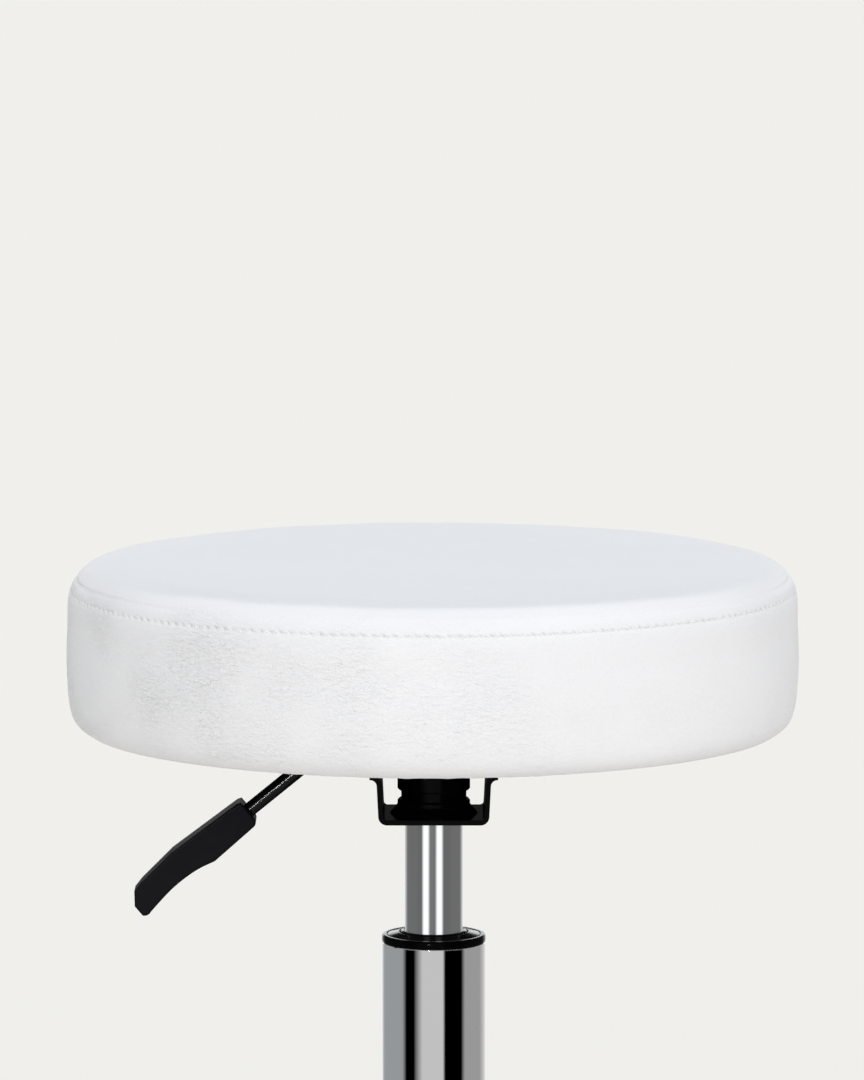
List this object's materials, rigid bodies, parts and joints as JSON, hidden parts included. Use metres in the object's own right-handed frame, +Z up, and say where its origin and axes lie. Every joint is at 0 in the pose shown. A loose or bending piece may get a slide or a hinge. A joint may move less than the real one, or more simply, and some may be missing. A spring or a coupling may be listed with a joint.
{
  "type": "rolling stylist stool",
  "caption": "Rolling stool with a thick round padded seat, a side lever that releases its gas lift column, and a star base on swivelling casters.",
  "frame": {"origin": "on the floor under the column axis", "axes": "+Z up along the column; the release lever points along -X; the seat bracket's open ends face -Y and +Y"},
  "size_m": [0.4899, 0.4614, 0.4966],
  "materials": {
    "seat_leather": "white pebble-grained coated fabric",
    "pu_foam": "open-cell foam",
    "plywood": "raw birch ply",
    "dust_fabric": "black non-woven",
    "zinc_steel": "bright zinc",
    "black_oxide_steel": "black oxide",
    "bracket_black": "gloss black powder coat",
    "lever_rod_black": "gloss black",
    "lever_plastic": "semi-gloss moulded black",
    "satin_tube": "satin grey chrome plate",
    "brass_valve": "turned",
    "gland_plastic": "moulded",
    "rod_chrome": "hard chrome",
    "aluminium_piston": "turned",
    "bumper_rubber": "matt",
    "column_chrome": "mirror chrome",
    "collar_plastic": "gloss moulded black",
    "base_chrome": "mirror chrome",
    "caster_nylon": "moulded black nylon",
    "wheel_nylon": "moulded black nylon",
    "tread_rubber": "soft dark tread"
  },
  "bodies": {
    "base": {"star_base": "base_chrome", "caster_stems": "zinc_steel", "outer_column": "column_chrome", "guide_bushing": "collar_plastic", "bearing_lower_race": "zinc_steel", "bearing_balls": "zinc_steel"},
    "lift_rod": {"piston_rod": "rod_chrome", "piston_head": "aluminium_piston", "bearing_upper_race": "zinc_steel", "rubber_bumper": "bumper_rubber", "rod_clip": "zinc_steel"},
    "seat": {"seat_cover": "seat_leather", "seat_foam": "pu_foam", "seat_board": "plywood", "tee_nuts": "zinc_steel", "dust_cover": "dust_fabric", "hem_staples": "zinc_steel", "seat_plate": "bracket_black", "u_bracket": "bracket_black", "hub_socket": "bracket_black", "seat_bolts": "black_oxide_steel", "bolt_washers": "zinc_steel", "lever_pivot_pin": "zinc_steel", "gas_cylinder": "satin_tube", "valve_body": "brass_valve", "rod_gland": "gland_plastic"},
    "lever": {"lever_rod": "lever_rod_black", "lever_handle": "lever_plastic"},
    "button": {"release_button": "zinc_steel"},
    "caster_1": {"caster_1_hood": "caster_nylon", "caster_1_axle": "zinc_steel"},
    "wheel_1_left": {"caster_1_wheel_left": "wheel_nylon", "caster_1_tread_left": "tread_rubber"},
    "wheel_1_right": {"caster_1_wheel_right": "wheel_nylon", "caster_1_tread_right": "tread_rubber"},
    "caster_2": {"caster_2_hood": "caster_nylon", "caster_2_axle": "zinc_steel"},
    "wheel_2_left": {"caster_2_wheel_left": "wheel_nylon", "caster_2_tread_left": "tread_rubber"},
    "wheel_2_right": {"caster_2_wheel_right": "wheel_nylon", "caster_2_tread_right": "tread_rubber"},
    "caster_3": {"caster_3_hood": "caster_nylon", "caster_3_axle": "zinc_steel"},
    "wheel_3_left": {"caster_3_wheel_left": "wheel_nylon", "caster_3_tread_left": "tread_rubber"},
    "wheel_3_right": {"caster_3_wheel_right": "wheel_nylon", "caster_3_tread_right": "tread_rubber"},
    "caster_4": {"caster_4_hood": "caster_nylon", "caster_4_axle": "zinc_steel"},
    "wheel_4_left": {"caster_4_wheel_left": "wheel_nylon", "caster_4_tread_left": "tread_rubber"},
    "wheel_4_right": {"caster_4_wheel_right": "wheel_nylon", "caster_4_tread_right": "tread_rubber"},
    "caster_5": {"caster_5_hood": "caster_nylon", "caster_5_axle": "zinc_steel"},
    "wheel_5_left": {"caster_5_wheel_left": "wheel_nylon", "caster_5_tread_left": "tread_rubber"},
    "wheel_5_right": {"caster_5_wheel_right": "wheel_nylon", "caster_5_tread_right": "tread_rubber"}
  },
  "joints": [
    {"name": "seat_swivel", "type": "hinge", "parent": "base", "child": "lift_rod", "pos_m": [0, 0, 0.072], "axis": [0, 0, 1], "continuous": true},
    {"name": "gas_lift_height", "type": "slide", "parent": "lift_rod", "child": "seat", "axis": [0, 0, 1], "range_m": [-0.045, 0.085]},
    {"name": "release_lever", "type": "hinge", "parent": "seat", "child": "lever", "pos_m": [-0.026, 0, 0.4035], "axis": [0, 1, 0], "range_deg": [0, 8]},
    {"name": "release_button", "type": "slide", "parent": "seat", "child": "button", "axis": [0, 0, -1], "range_m": [0, 0.0038]},
    {"name": "caster_1_swivel", "type": "hinge", "parent": "base", "child": "caster_1", "pos_m": [0.19497, 0.06335, 0.05], "axis": [0, 0, 1], "continuous": true},
    {"name": "wheel_1_left_spin", "type": "hinge", "parent": "caster_1", "child": "wheel_1_left", "pos_m": [0.20666, 0.07832, 0.025], "axis": [-0.788, 0.6157, 0], "continuous": true},
    {"name": "wheel_1_right_spin", "type": "hinge", "parent": "caster_1", "child": "wheel_1_right", "pos_m": [0.20666, 0.07832, 0.025], "axis": [-0.788, 0.6157, 0], "continuous": true},
    {"name": "caster_2_swivel", "type": "hinge", "parent": "base", "child": "caster_2", "pos_m": [0, 0.205, 0.05], "axis": [0, 0, 1], "continuous": true},
    {"name": "wheel_2_left_spin", "type": "hinge", "parent": "caster_2", "child": "wheel_2_left", "pos_m": [-0.0117, 0.21997, 0.025], "axis": [-0.788, -0.6157, 0], "continuous": true},
    {"name": "wheel_2_right_spin", "type": "hinge", "parent": "caster_2", "child": "wheel_2_right", "pos_m": [-0.0117, 0.21997, 0.025], "axis": [-0.788, -0.6157, 0], "continuous": true},
    {"name": "caster_3_swivel", "type": "hinge", "parent": "base", "child": "caster_3", "pos_m": [-0.19497, 0.06335, 0.05], "axis": [0, 0, 1], "continuous": true},
    {"name": "wheel_3_left_spin", "type": "hinge", "parent": "caster_3", "child": "wheel_3_left", "pos_m": [-0.21219, 0.05532, 0.025], "axis": [0.4226, -0.9063, 0], "continuous": true},
    {"name": "wheel_3_right_spin", "type": "hinge", "parent": "caster_3", "child": "wheel_3_right", "pos_m": [-0.21219, 0.05532, 0.025], "axis": [0.4226, -0.9063, 0], "continuous": true},
    {"name": "caster_4_swivel", "type": "hinge", "parent": "base", "child": "caster_4", "pos_m": [-0.1205, -0.16585, 0.05], "axis": [0, 0, 1], "continuous": true},
    {"name": "wheel_4_left_spin", "type": "hinge", "parent": "caster_4", "child": "wheel_4_left", "pos_m": [-0.13835, -0.17235, 0.025], "axis": [0.342, -0.9397, 0], "continuous": true},
    {"name": "wheel_4_right_spin", "type": "hinge", "parent": "caster_4", "child": "wheel_4_right", "pos_m": [-0.13835, -0.17235, 0.025], "axis": [0.342, -0.9397, 0], "continuous": true},
    {"name": "caster_5_swivel", "type": "hinge", "parent": "base", "child": "caster_5", "pos_m": [0.1205, -0.16585, 0.05], "axis": [0, 0, 1], "continuous": true},
    {"name": "wheel_5_left_spin", "type": "hinge", "parent": "caster_5", "child": "wheel_5_left", "pos_m": [0.13811, -0.17297, 0.025], "axis": [0.3746, 0.9272, 0], "continuous": true},
    {"name": "wheel_5_right_spin", "type": "hinge", "parent": "caster_5", "child": "wheel_5_right", "pos_m": [0.13811, -0.17297, 0.025], "axis": [0.3746, 0.9272, 0], "continuous": true}
  ],
  "couplings": [
    {"joint": "release_button", "follows": "release_lever", "m_per_rad": 0.026}
  ]
}
